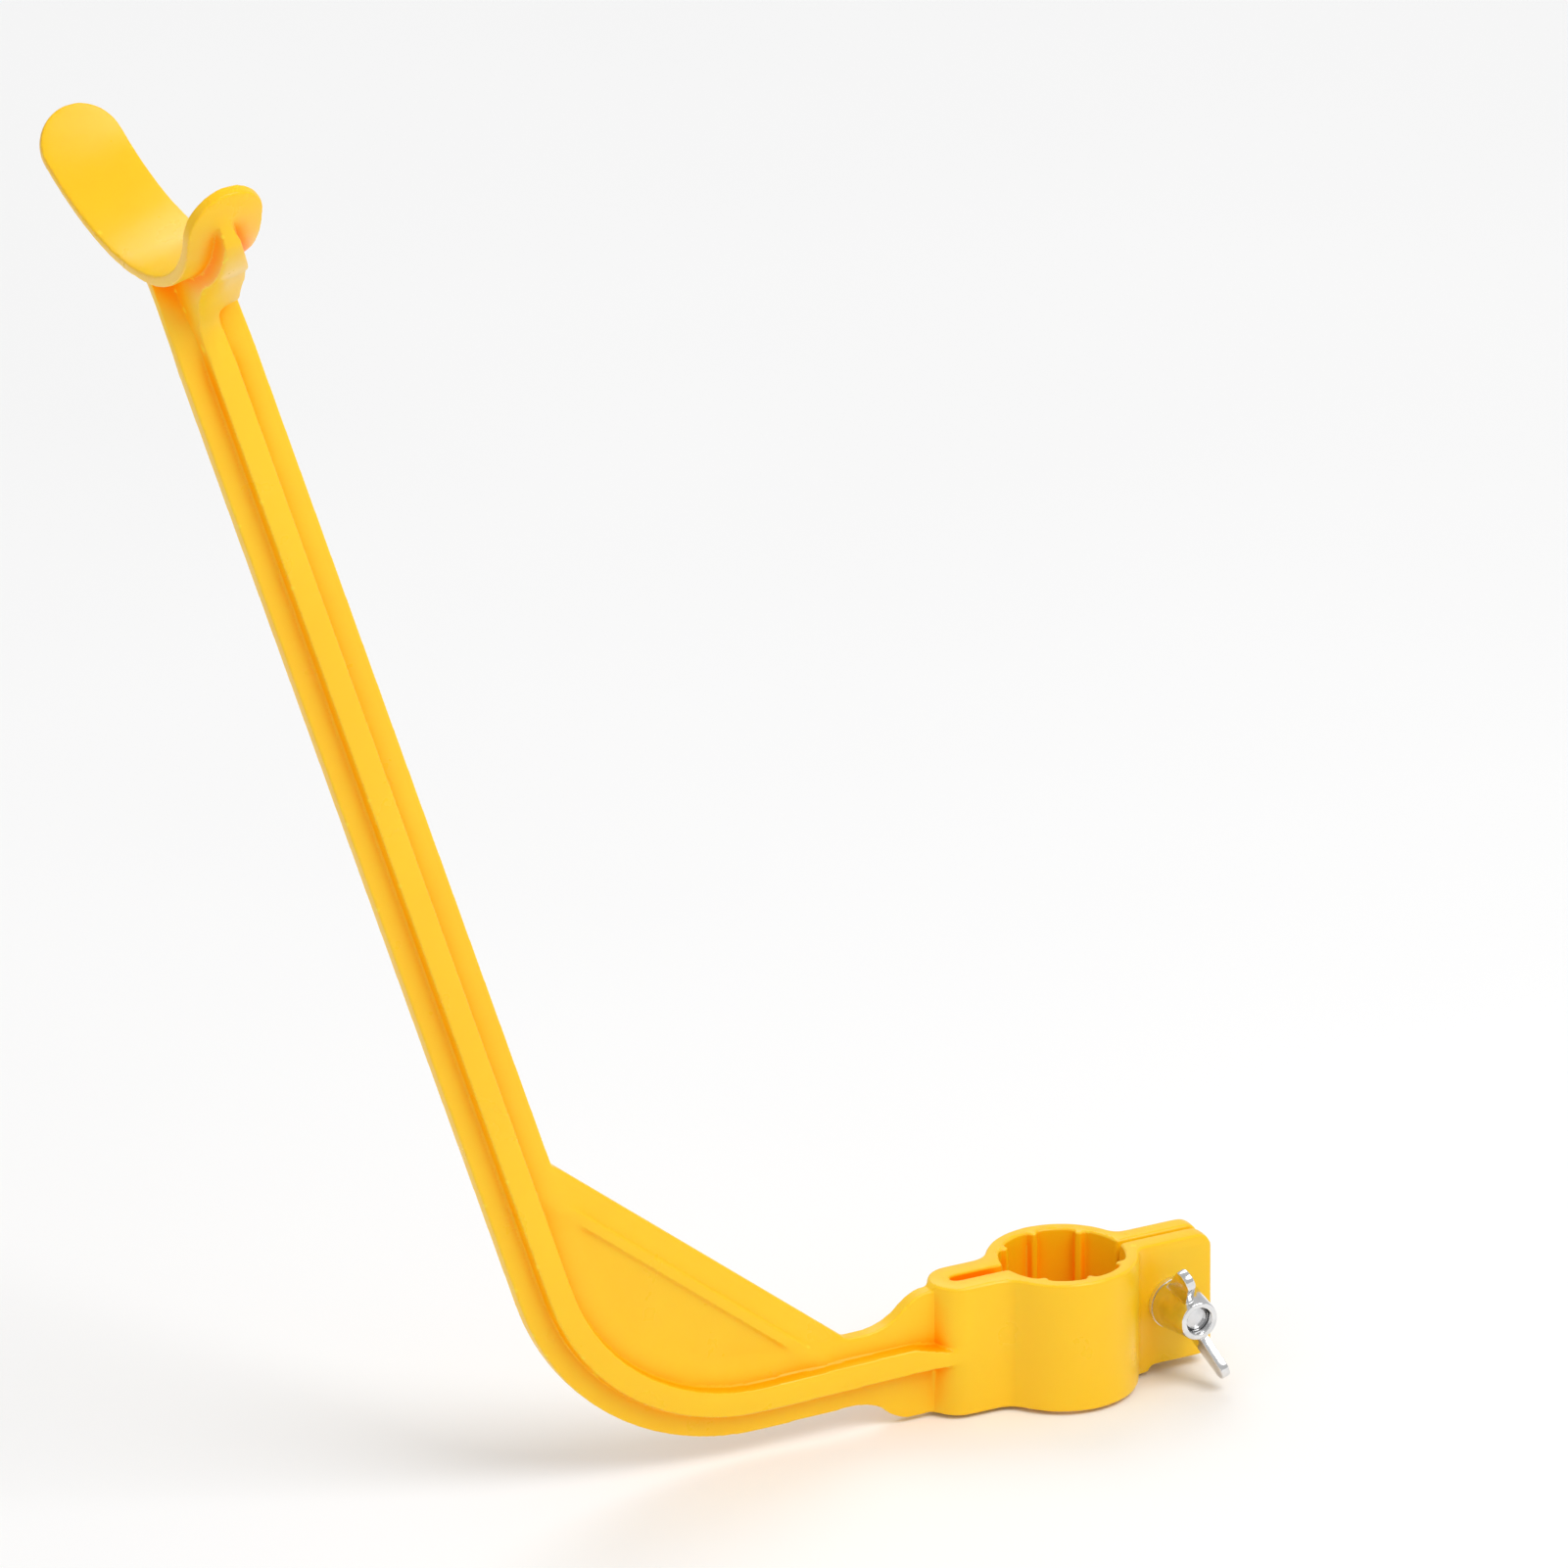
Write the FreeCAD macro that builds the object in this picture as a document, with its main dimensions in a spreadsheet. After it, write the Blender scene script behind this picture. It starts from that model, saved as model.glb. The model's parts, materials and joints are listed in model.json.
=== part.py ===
import FreeCAD, Part
import math
import os
import Sketcher

"""Golf swing guide: a ribbed arm with a forearm saddle at one end and, at the other, a split clamp
for a club's grip that a bolt and wing nut close.

Frame: the origin is on the clamp bore's axis at mid height. +Z runs along the bore towards the saddle,
-X towards the arm, +X towards the clamp's ears. The moulding's middle plane is XZ. Millimetres, degrees."""

# How near an edge has to be to where it is looked for.
TOLERANCE = 0.01

DIMENSIONS = [
    # alias, value, meaning
    ("clamp_height", 26, "clamp along the bore"),
    ("bore_radius", 11.5, "clamp bore"),
    ("ring_wall", 2.7, "wall round the bore"),
    ("ridge_width", 1.6, "grip ridge in the bore, round the bore"),
    ("ridge_rise", 1.3, "grip ridge in the bore, towards the axis"),
    ("root_radius", 5.6, "half width and end radius of the root block"),
    ("root_centre", 21.8, "from the bore axis to the centre of the root block's round end"),
    ("root_slot_width", 2, "slot that lets the near jaw flex"),
    ("root_slot_end", 23.3, "from the bore axis to the closed end of the slot"),
    ("root_blend", 4.5, "hollow corner between the root block and the ring"),
    ("ear_half_depth", 4.4, "from the middle plane to an ear's outer face"),
    ("ear_reach", 29, "from the bore axis to the ears' outer end"),
    ("ear_corner", 3, "round corners of the ears' outer end"),
    ("ear_drop", 11.6, "from mid clamp down to the ears' lower edge"),
    ("ear_step", 16.4, "from the bore axis to where the ears' lower edge steps up"),
    ("ear_blend", 2.1, "hollow corner between an ear and the ring"),
    ("slit_width", 0.8, "gap between the ears when clamped"),
    ("bolt_reach", 20.8, "from the bore axis to the bolt axis"),
    ("bolt_above", 0.7, "from mid clamp up to the bolt axis, half way up the ears"),
    ("bolt_radius", 2.5, "M5 bolt"),
    ("bolt_clearance", 0.05, "radial, between the bolt and the far ear, the washer and the nut"),
    ("near_hole_radius", 3.2, "bolt hole in the near ear, wide enough for the jaw to tilt"),
    ("bolt_length", 16, "bolt under its head"),
    ("bolt_tip_chamfer", 0.5, "bolt's lead-in"),
    ("head_flats", 8, "bolt head across its flats"),
    ("head_height", 3.5, "bolt head"),
    ("head_gap", 0.1, "between the bolt head and its recess, at each flat"),
    ("head_recess", 1.7, "depth of the head's hexagon recess in the far ear"),
    ("washer_radius", 5, "M5 washer"),
    ("washer_height", 1, "M5 washer"),
    ("hub_base_radius", 5, "wing nut hub where it bears"),
    ("hub_top_radius", 3.7, "wing nut hub at its free end"),
    ("hub_height", 9.5, "wing nut hub"),
    ("wing_span", 24.5, "wing nut, tip to tip"),
    ("wing_rise", 12.8, "wing nut, bearing face to wing tips"),
    ("wing_foot", 1.2, "height at which the wings leave the hub"),
    ("wing_thickness", 1.9, "wing nut's wings"),
    ("wing_root", 1.5, "from the hub's free end down to where the wings' upper edge meets it"),
    ("wing_tip_radius", 2.2, "round ends of the wings"),
    ("wing_tip_start", -30, "direction from a wing tip's centre to where its round end starts"),
    ("wing_tip_end", 110, "direction from a wing tip's centre to where its round end stops"),
    ("wing_turn", 21, "how far the wings stand round from the bore's direction"),
    ("hinge_angle", 145, "round the bore from the ears to the thin wall where the near jaw flexes"),
    ("hinge_radius", 1.3, "round end of the near jaw at its flexing wall"),
    ("hinge_gap", 0.05, "between the jaw's round end and its socket"),
    ("hinge_opening", 2.5, "wedge left open beside the round end for the jaw to swing into"),
    ("web_thickness", 3, "flat web of the cross-shaped arm"),
    ("rib_width", 5, "ribs of the cross-shaped arm"),
    ("rib_depth", 8.2, "over both ribs"),
    ("arm_lean", 19, "arm from the bore's direction"),
    ("leg_rise", 1.7, "short leg from square to the bore, rising to the clamp"),
    ("bend_back", 64.5, "from the bore axis to the centre of the bend"),
    ("bend_above", 42.4, "from mid clamp up to the centre of the bend"),
    ("bend_outer", 51, "outer radius of the bend"),
    ("bend_rib", 43.8, "radius of the rib's middle line in the bend"),
    ("arm_width", 15, "web of the arm"),
    ("leg_width", 13.9, "web of the short leg"),
    ("arm_length", 232.6, "from the end of the bend to the saddle"),
    ("flare_start", 41.5, "from the bore axis to where the web starts to flare towards the root block"),
    ("flare_middle", 34, "from the bore axis to the steepest part of the flare"),
    ("flare_end", 29, "from the bore axis to where the flare levels out"),
    ("flare_hollow", 12, "radius of the flare's hollow half"),
    ("flare_crown", 9.5, "radius of the flare's bulging half"),
    ("flare_top", 11.9, "web's upper edge at the root block, above mid clamp"),
    ("flare_bottom", 12.6, "web's lower edge at the root block, below mid clamp"),
    ("flare_step", 3, "how much higher the web is at the end of the flare than in its middle"),
    ("flare_shift", 4, "how much further out the flare is on the web's lower edge"),
    ("nose_start", 33, "from the bore axis to where the rib starts to narrow"),
    ("nose_end", 22, "from the bore axis to the rib's tip on the root block"),
    ("nose_lift", 1.8, "how much further out the rib stands at its tip"),
    ("nose_height", 2, "rib's height at its tip"),
    ("nose_drop", 1, "how far the rib's middle line sinks to its tip"),
    ("gusset_thickness", 2.2, "thin plate in the bend"),
    ("gusset_up_arm", 24.5, "from the end of the bend to the plate's corner on the arm"),
    ("gusset_along_leg", 18.1, "from the end of the bend to the plate's corner on the leg"),
    ("bead_inset", 4.8, "from the plate's free edge to the bead"),
    ("bead_width", 2.3, "raised bead along the plate's free edge"),
    ("bead_depth", 3.6, "over the beads on the plate's two sides"),
    ("saddle_radius", 39.5, "outside of the saddle"),
    ("saddle_thickness", 2.4, "saddle strip"),
    ("saddle_width", 16, "saddle strip"),
    ("saddle_shift", 0.7, "strip's middle line from the arm's middle line, towards the arm's outer side"),
    ("near_angle", 55.2, "from the saddle's middle to where its near round end starts"),
    ("far_angle", 51, "from the saddle's middle to where its far round end starts"),
    ("saddle_tilt", 14.65, "saddle's width direction above square to the bore"),
    ("saddle_roll", 6.7, "how far the saddle leans to its far side"),
    ("saddle_turn", 0.8, "how far the saddle's near end is turned to the arm's outer side"),
    ("fin_height", 3.2, "rib under the saddle"),
    ("fin_start_angle", 22, "from the saddle's middle to where the rib leaves the neck's hollow"),
    ("fin_end_angle", 52, "from the saddle's middle to where the rib starts to fade"),
    ("fin_fade", 12, "angle over which the rib fades out"),
    ("neck_drop", 13, "from the saddle down to where the neck starts to spread from the ribs"),
    ("neck_hollow", 47, "radius of the neck's hollow from the ribs to the rib under the saddle"),
    ("collar_drop", 10, "from the saddle down to the collar's lower edge"),
    ("collar_reach", 7.4, "from the arm's middle line to the collar's open side"),
    ("collar_full", -4, "height from the saddle's underside up to which the collar keeps its width"),
    ("collar_waist", 6.3, "from the arm's middle line to the open side at the saddle's underside"),
    ("fin_hollow", 53, "radius of the open side's hollow from the saddle's underside to the tip"),
    ("fin_side", 3.2, "from the arm's middle line to the rib's other side under the saddle"),
    ("fin_shoulder", 19, "height from the saddle's underside at which the other side turns to the tip"),
    ("tip_side", 1.2, "from the arm's middle line to the rib's tip, on the other side"),
    ("tip_height", 23, "height from the saddle's underside of the rib's tip"),
    ("overrun", 1, "how far a cutting outline runs past the face it cuts"),
    ("end_overlap", 18, "angle by which the saddle strip is drawn past the start of its round ends"),
]


def read_sheet(document):
    """Spreadsheet of the driving dimensions, one row each: meaning, alias, value."""
    table = document.addObject("Spreadsheet::Sheet", "dims")
    for row, (alias, value, meaning) in enumerate(DIMENSIONS, start=1):
        table.set(f"A{row}", meaning)
        table.set(f"B{row}", alias)
        table.set(f"C{row}", str(value))
        table.setAlias(f"C{row}", alias)
    document.recompute()
    return table


doc = FreeCAD.newDocument("golf_swing_guide")
dims = read_sheet(doc)


def size(expression):
    """Value of an expression over the sheet, as a plain number."""
    value = dims.evalExpression(expression)
    return float(getattr(value, "Value", value))


def new_body(name):
    body = doc.addObject("PartDesign::Body", name)
    body.Label = name
    return body


def origin_plane(body, role):
    return next(plane for plane in body.Origin.OriginFeatures if plane.Role == role)


def new_sketch(body, name, role, lift=None):
    """Sketch on one of the body's origin planes, moved along the plane's normal by the lift expression."""
    sketch = body.newObject("Sketcher::SketchObject", name)
    sketch.AttachmentSupport = [(origin_plane(body, role), "")]
    sketch.MapMode = "FlatFace"
    if lift:
        sketch.setExpression("AttachmentOffset.Base.z", lift)
    return sketch


def bind(sketch, constraint, name, expression):
    index = sketch.addConstraint(constraint)
    sketch.renameConstraint(index, name)
    sketch.setExpression(f"Constraints.{name}", expression)


def arc_between(start, end, radius, to_left):
    """Arc from start to end with its centre to the left or the right of the way from one to the other."""
    chord = end - start
    half = chord.Length / 2
    side = FreeCAD.Vector(-chord.y, chord.x, 0).normalize()
    reach = math.sqrt(max(radius * radius - half * half, 0))
    centre = (start + end) / 2 + side * (reach if to_left else -reach)
    first, last = (start, end) if to_left else (end, start)
    begin = math.atan2(first.y - centre.y, first.x - centre.x)
    finish = math.atan2(last.y - centre.y, last.x - centre.x)
    circle = Part.Circle(centre, FreeCAD.Vector(0, 0, 1), radius)
    return Part.ArcOfCircle(circle, begin, finish)


def outline(body, name, role, corners, lift=None):
    """Closed sketch outline with every corner bound to the sheet.

    A corner is (across, up) or (across, up, radius, side): the radius makes an arc of the stretch that
    leaves the corner, with its centre on that side, "left" or "right", of the way to the next corner."""
    sketch = new_sketch(body, name, role, lift)
    places = [FreeCAD.Vector(size(corner[0]), size(corner[1]), 0) for corner in corners]
    ends = []
    for number, corner in enumerate(corners):
        start = places[number]
        end = places[(number + 1) % len(places)]
        if len(corner) == 4:
            to_left = corner[3] == "left"
            edge = sketch.addGeometry(arc_between(start, end, size(corner[2]), to_left), False)
            ends.append((edge, 1, 2) if to_left else (edge, 2, 1))
        else:
            edge = sketch.addGeometry(Part.LineSegment(start, end), False)
            ends.append((edge, 1, 2))
    for number, corner in enumerate(corners):
        edge, first, last = ends[number]
        follower, follower_first, _ = ends[(number + 1) % len(ends)]
        sketch.addConstraint(Sketcher.Constraint("Coincident", edge, last, follower, follower_first))
        across = Sketcher.Constraint("DistanceX", -1, 1, edge, first, places[number].x)
        up = Sketcher.Constraint("DistanceY", -1, 1, edge, first, places[number].y)
        bind(sketch, across, f"corner_{number}_across", corner[0])
        bind(sketch, up, f"corner_{number}_up", corner[1])
        if len(corner) == 4:
            radius = Sketcher.Constraint("Radius", edge, size(corner[2]))
            bind(sketch, radius, f"corner_{number}_radius", corner[2])
    return sketch


def round_outline(body, name, role, across, up, radius, lift=None):
    """Sketch of one circle, bound to the sheet."""
    sketch = new_sketch(body, name, role, lift)
    centre = FreeCAD.Vector(size(across), size(up), 0)
    edge = sketch.addGeometry(Part.Circle(centre, FreeCAD.Vector(0, 0, 1), size(radius)), False)
    bind(sketch, Sketcher.Constraint("DistanceX", -1, 1, edge, 3, centre.x), "centre_across", across)
    bind(sketch, Sketcher.Constraint("DistanceY", -1, 1, edge, 3, centre.y), "centre_up", up)
    bind(sketch, Sketcher.Constraint("Radius", edge, size(radius)), "radius", radius)
    return sketch


def pad(body, name, sketch, length, both_ways=True):
    feature = body.newObject("PartDesign::Pad", name)
    feature.Profile = sketch
    feature.SideType = "Symmetric" if both_ways else "One side"
    feature.setExpression("Length", length)
    doc.recompute()
    return feature


def pocket(body, name, sketch, length, both_ways=True, reverse=False):
    """Pocket that stops the script if it takes nothing away."""
    before = body.Shape.Volume
    feature = body.newObject("PartDesign::Pocket", name)
    feature.Profile = sketch
    feature.SideType = "Symmetric" if both_ways else "One side"
    feature.Reversed = reverse
    feature.setExpression("Length", length)
    doc.recompute()
    if not body.Shape.Volume < before:
        raise RuntimeError(f"{name} cuts nothing")
    return feature


def round_edges(body, name, radius, wanted):
    """Fillet on the edges of the body's last feature that the wanted test picks."""
    base = body.Tip
    picked = [f"Edge{number}" for number, edge in enumerate(base.Shape.Edges, start=1) if wanted(edge)]
    if not picked:
        raise RuntimeError(f"{name} finds no edge")
    feature = body.newObject("PartDesign::Fillet", name)
    feature.Base = (base, picked)
    feature.setExpression("Radius", radius)
    doc.recompute()
    return feature


def combine(kind, name, *parts):
    """Part::MultiFuse, Part::MultiCommon or Part::Cut of whole objects."""
    feature = doc.addObject(kind, name)
    feature.Label = name
    if kind == "Part::Cut":
        feature.Base, feature.Tool = parts
    else:
        feature.Shapes = list(parts)
    doc.recompute()
    return feature


# The arm's web and ribs follow one path: down the arm, round the bend and along the short leg to the
# clamp. A place on it is given by its distance out from the bend's centre and its distance from the
# end of the bend, up the arm or along the leg.

def on_arm(outward, upward):
    across = f"-dims.bend_back - cos(dims.arm_lean) * ({outward}) - sin(dims.arm_lean) * ({upward})"
    up = f"dims.bend_above - sin(dims.arm_lean) * ({outward}) + cos(dims.arm_lean) * ({upward})"
    return across, up


def on_leg(outward, along):
    across = f"-dims.bend_back + sin(dims.leg_rise) * ({outward}) + cos(dims.leg_rise) * ({along})"
    up = f"dims.bend_above - cos(dims.leg_rise) * ({outward}) + sin(dims.leg_rise) * ({along})"
    return across, up


def add_web(body):
    """Flat web of arm, bend and leg, with the S-shaped flare where it meets the root block."""
    inner_arm = "dims.bend_outer - dims.arm_width"
    inner_leg = "dims.bend_outer - dims.leg_width"
    arm_top = "dims.arm_length + dims.saddle_thickness / 2"
    inner_bend = "dims.bend_outer - dims.arm_width / 2 - dims.leg_width / 2"
    upper_flare = "dims.bend_back - dims.flare_start"
    lower_flare = f"{upper_flare} - dims.flare_shift"
    lower_crown = ("-dims.flare_middle - dims.flare_shift", "dims.flare_step - dims.flare_bottom")
    corners = [
        on_arm("dims.bend_outer", arm_top),
        on_arm("dims.bend_outer", "0") + ("dims.bend_outer", "left"),
        on_leg("dims.bend_outer", "0"),
        on_leg("dims.bend_outer", lower_flare) + ("dims.flare_hollow", "right"),
        lower_crown + ("dims.flare_crown", "left"),
        ("-dims.flare_end - dims.flare_shift", "-dims.flare_bottom"),
        ("-dims.root_centre", "-dims.flare_bottom"),
        ("-dims.root_centre", "dims.flare_top"),
        ("-dims.flare_end", "dims.flare_top") + ("dims.flare_crown", "left"),
        ("-dims.flare_middle", "dims.flare_top - dims.flare_step") + ("dims.flare_hollow", "right"),
        on_leg(inner_leg, upper_flare),
        on_leg(inner_leg, "0") + (inner_bend, "right"),
        on_arm(inner_arm, "0"),
        on_arm(inner_arm, arm_top),
    ]
    sketch = outline(body, "web_outline", "XZ_Plane", corners)
    pad(body, "web", sketch, "dims.web_thickness")


def add_ribs(body):
    """Rib on each side of the web, all the way from the saddle to the root block."""
    outer = "dims.bend_rib + dims.rib_width / 2"
    inner = "dims.bend_rib - dims.rib_width / 2"
    leg_end = "dims.bend_back - dims.nose_start"
    corners = [
        on_arm(outer, "dims.arm_length"),
        on_arm(outer, "0") + (outer, "left"),
        on_leg(outer, "0"),
        on_leg(outer, leg_end),
        on_leg(inner, leg_end),
        on_leg(inner, "0") + (inner, "right"),
        on_arm(inner, "0"),
        on_arm(inner, "dims.arm_length"),
    ]
    sketch = outline(body, "rib_outline", "XZ_Plane", corners)
    pad(body, "ribs", sketch, "dims.rib_depth")


def nose_section(body, name, back, half_depth, height, drop):
    """Upright rectangle across the leg, on the rib's middle line or below it by the drop."""
    middle = on_leg("dims.bend_rib", f"dims.bend_back - {back}")[1]
    low = f"{middle} - {drop} - ({height}) / 2"
    high = f"{middle} - {drop} + ({height}) / 2"
    corners = [
        (f"-({half_depth})", low),
        (half_depth, low),
        (half_depth, high),
        (f"-({half_depth})", high),
    ]
    return outline(body, name, "YZ_Plane", corners, lift=f"-{back}")


def add_rib_nose(body):
    """The ribs narrow and stand further out until they run into the root block's sides."""
    depth = "dims.rib_depth / 2"
    start = nose_section(body, "nose_start", "dims.nose_start", depth, "dims.rib_width", "0")
    tip_depth = "dims.rib_depth / 2 + dims.nose_lift"
    tip = nose_section(body, "nose_tip", "dims.nose_end", tip_depth, "dims.nose_height", "dims.nose_drop")
    feature = body.newObject("PartDesign::AdditiveLoft", "rib_nose")
    feature.Profile = start
    feature.Sections = [tip]
    doc.recompute()


def add_gusset(body):
    """Thin plate in the bend, with a raised bead along its free edge."""
    depth = "dims.bend_rib"
    arm_corner = on_arm("dims.bend_outer - dims.arm_width", "dims.gusset_up_arm")
    leg_corner = on_leg("dims.bend_outer - dims.leg_width", "dims.gusset_along_leg")
    corners = [
        arm_corner,
        on_arm(depth, "dims.gusset_up_arm"),
        on_arm(depth, "0") + (depth, "left"),
        on_leg(depth, "0"),
        on_leg(depth, "dims.gusset_along_leg"),
        leg_corner,
    ]
    plate = outline(body, "gusset_outline", "XZ_Plane", corners)
    pad(body, "gusset", plate, "dims.gusset_thickness")

    run = size(leg_corner[0]) - size(arm_corner[0])
    fall = size(arm_corner[1]) - size(leg_corner[1])
    slope = math.degrees(math.atan2(fall, run))
    near = "dims.bead_inset"
    far = "dims.bead_inset + dims.bead_width"

    def inset(corner, distance):
        across = f"{corner[0]} - ({distance}) * sin({slope} deg)"
        up = f"{corner[1]} - ({distance}) * cos({slope} deg)"
        return across, up

    corners = [
        inset(arm_corner, near),
        inset(arm_corner, far),
        inset(leg_corner, far),
        inset(leg_corner, near),
    ]
    bead = outline(body, "bead_outline", "XZ_Plane", corners)
    pad(body, "bead", bead, "dims.bead_depth")


def add_clamp(body):
    """Solid clamp: ring, root block and ears, with hollow corners between them."""
    ring = round_outline(body, "ring_outline", "XY_Plane", "0", "0", "dims.bore_radius + dims.ring_wall")
    pad(body, "ring", ring, "dims.clamp_height")
    root = [
        ("-dims.root_centre", "dims.root_radius", "dims.root_radius", "left"),
        ("-dims.root_centre - dims.root_radius", "0", "dims.root_radius", "left"),
        ("-dims.root_centre", "-dims.root_radius"),
        ("-dims.bore_radius", "-dims.root_radius"),
        ("-dims.bore_radius", "dims.root_radius"),
    ]
    pad(body, "root_block", outline(body, "root_outline", "XY_Plane", root), "dims.clamp_height")
    half_height = "dims.clamp_height / 2"
    straight_out = "dims.ear_reach - dims.ear_corner"
    ears = [
        ("dims.bore_radius", f"-{half_height}"),
        ("dims.ear_step", f"-{half_height}"),
        ("dims.ear_step", "-dims.ear_drop"),
        (straight_out, "-dims.ear_drop", "dims.ear_corner", "left"),
        ("dims.ear_reach", "dims.ear_corner - dims.ear_drop"),
        ("dims.ear_reach", f"{half_height} - dims.ear_corner", "dims.ear_corner", "left"),
        (straight_out, half_height),
        ("dims.bore_radius", half_height),
    ]
    pad(body, "ears", outline(body, "ear_outline", "XZ_Plane", ears), "2 * dims.ear_half_depth")


def add_clamp_blends(body):
    ring_radius = size("dims.bore_radius + dims.ring_wall")

    def upright_on_ring(edge, half_width, sign):
        middle = edge.CenterOfMass
        across = sign * math.sqrt(ring_radius * ring_radius - half_width * half_width)
        upright = abs(edge.tangentAt(edge.FirstParameter).z) > 1 - TOLERANCE
        on_side = abs(abs(middle.y) - half_width) < TOLERANCE
        return upright and on_side and abs(middle.x - across) < TOLERANCE

    root = size("dims.root_radius")
    ear = size("dims.ear_half_depth")
    round_edges(body, "root_corners", "dims.root_blend", lambda edge: upright_on_ring(edge, root, -1))
    round_edges(body, "ear_corners", "dims.ear_blend", lambda edge: upright_on_ring(edge, ear, 1))


def cut_clamp(body):
    """Bore, root slot, slit between the ears, bolt holes and the bolt head's recess."""
    through = "2 * dims.clamp_height"
    bore = round_outline(body, "bore_outline", "XY_Plane", "0", "0", "dims.bore_radius")
    pocket(body, "bore", bore, through)
    half_slot = "dims.root_slot_width / 2"
    slot_end = f"-dims.root_slot_end + {half_slot}"
    slot = [
        (slot_end, half_slot, half_slot, "left"),
        ("-dims.root_slot_end", "0", half_slot, "left"),
        (slot_end, f"-{half_slot}"),
        ("dims.overrun - dims.bore_radius", f"-{half_slot}"),
        ("dims.overrun - dims.bore_radius", half_slot),
    ]
    pocket(body, "root_slot", outline(body, "slot_outline", "XY_Plane", slot), through)
    slit = [
        ("dims.bore_radius - dims.overrun", "-dims.slit_width / 2"),
        ("dims.ear_reach + dims.overrun", "-dims.slit_width / 2"),
        ("dims.ear_reach + dims.overrun", "dims.slit_width / 2"),
        ("dims.bore_radius - dims.overrun", "dims.slit_width / 2"),
    ]
    pocket(body, "ear_slit", outline(body, "slit_outline", "XY_Plane", slit), through)

    far_hole = "dims.bolt_radius + dims.bolt_clearance"
    spot = ("dims.bolt_reach", "dims.bolt_above")
    far = round_outline(body, "far_hole_outline", "XZ_Plane", *spot, far_hole)
    pocket(body, "far_hole", far, "2 * dims.ear_half_depth", both_ways=False)
    near = round_outline(body, "near_hole_outline", "XZ_Plane", *spot, "dims.near_hole_radius")
    pocket(body, "near_hole", near, "2 * dims.ear_half_depth", both_ways=False, reverse=True)
    seat = "dims.head_recess - dims.ear_half_depth"
    hexagon = hexagon_outline(body, "recess_outline", "XZ_Plane", *spot, "dims.head_gap", seat)
    pocket(body, "head_recess", hexagon, "dims.head_recess + dims.overrun", both_ways=False)


def hexagon_outline(body, name, role, across, up, gap, lift=None):
    """Hexagon with the bolt head's size and a gap all round, flats to the left and right."""
    corner_radius = f"(dims.head_flats / 2 + {gap}) / cos(30 deg)"
    corners = []
    for number in range(6):
        angle = 60 * number + 30
        sideways = f"{corner_radius} * cos({angle} deg)"
        upwards = f"{corner_radius} * sin({angle} deg)"
        corners.append((f"{across} + {sideways}", f"{up} + {upwards}"))
    return outline(body, name, role, corners, lift)


def add_ridges(body):
    """Six upright grip ridges in the bore, three in each jaw."""
    root = "dims.bore_radius + dims.ring_wall / 2"
    crest = "dims.bore_radius - dims.ridge_rise"
    half = "dims.ridge_width / 2"
    for number, angle in enumerate((45, 90, 135, 225, 270, 315)):

        def turned(outward, sideways):
            across = f"({outward}) * cos({angle} deg) - ({sideways}) * sin({angle} deg)"
            up = f"({outward}) * sin({angle} deg) + ({sideways}) * cos({angle} deg)"
            return across, up

        corners = [
            turned(crest, f"-{half}"),
            turned(root, f"-{half}"),
            turned(root, half),
            turned(crest, half),
        ]
        sketch = outline(body, f"ridge_outline_{number}", "XY_Plane", corners)
        pad(body, f"ridge_{number}", sketch, "dims.clamp_height")


def jaw_zone(name, opening, gap):
    """Block that holds the near jaw: everything on its side of the slit, as far as the flexing wall."""
    angle = f"(dims.hinge_angle - {opening})"
    reach = "2 * dims.ear_reach"
    zone = new_body(f"{name}_block")
    corners = [
        ("0", "0"),
        (f"{reach} * cos({angle})", f"-{reach} * sin({angle})"),
        (f"{reach} * cos({angle})", f"-{reach}"),
        (reach, f"-{reach}"),
        (reach, "0"),
    ]
    pad(zone, f"{name}_pad", outline(zone, f"{name}_outline", "XY_Plane", corners), "2 * dims.clamp_height")
    pin = doc.addObject("Part::Cylinder", f"{name}_round_end")
    hinge = "(dims.bore_radius + dims.ring_wall / 2)"
    pin.setExpression("Radius", f"dims.hinge_radius + {gap}")
    pin.setExpression("Height", "2 * dims.clamp_height")
    pin.setExpression("Placement.Base.x", f"{hinge} * cos(dims.hinge_angle)")
    pin.setExpression("Placement.Base.y", f"-{hinge} * sin(dims.hinge_angle)")
    pin.setExpression("Placement.Base.z", "-dims.clamp_height")
    return combine("Part::MultiFuse", name, zone, pin)


# The saddle has its own frame: x along the strip's width, z away from the arm, origin on its
# underside where the arm's middle line meets it.

def saddle_frame():
    across, up = on_arm("dims.bend_rib", "dims.arm_length")
    place = FreeCAD.Vector(size(across), 0, size(up))
    tilt = FreeCAD.Rotation(FreeCAD.Vector(0, 1, 0), -size("dims.saddle_tilt"))
    lean = FreeCAD.Rotation(FreeCAD.Vector(1, 0, 0), -size("dims.saddle_roll"))
    return FreeCAD.Placement(place, tilt.multiply(lean))


def strip_frame():
    """The strip itself is turned a little about the saddle's own z axis and shifted sideways."""
    turn = FreeCAD.Rotation(FreeCAD.Vector(0, 0, 1), -size("dims.saddle_turn"))
    shift = FreeCAD.Vector(-size("dims.saddle_shift"), 0, 0)
    return saddle_frame().multiply(FreeCAD.Placement(shift, turn))


def on_saddle(radius, angle):
    """Place at this radius and angle round the saddle, as (sideways, up) in the saddle's frame."""
    return f"({radius}) * sin({angle})", f"dims.saddle_radius - ({radius}) * cos({angle})"


def leaned(sideways, up):
    """Place square to the arm as (sideways, up) in the leaning saddle's frame."""
    across = f"cos(dims.saddle_roll) * ({sideways}) - sin(dims.saddle_roll) * ({up})"
    height = f"sin(dims.saddle_roll) * ({sideways}) + cos(dims.saddle_roll) * ({up})"
    return across, height


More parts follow.
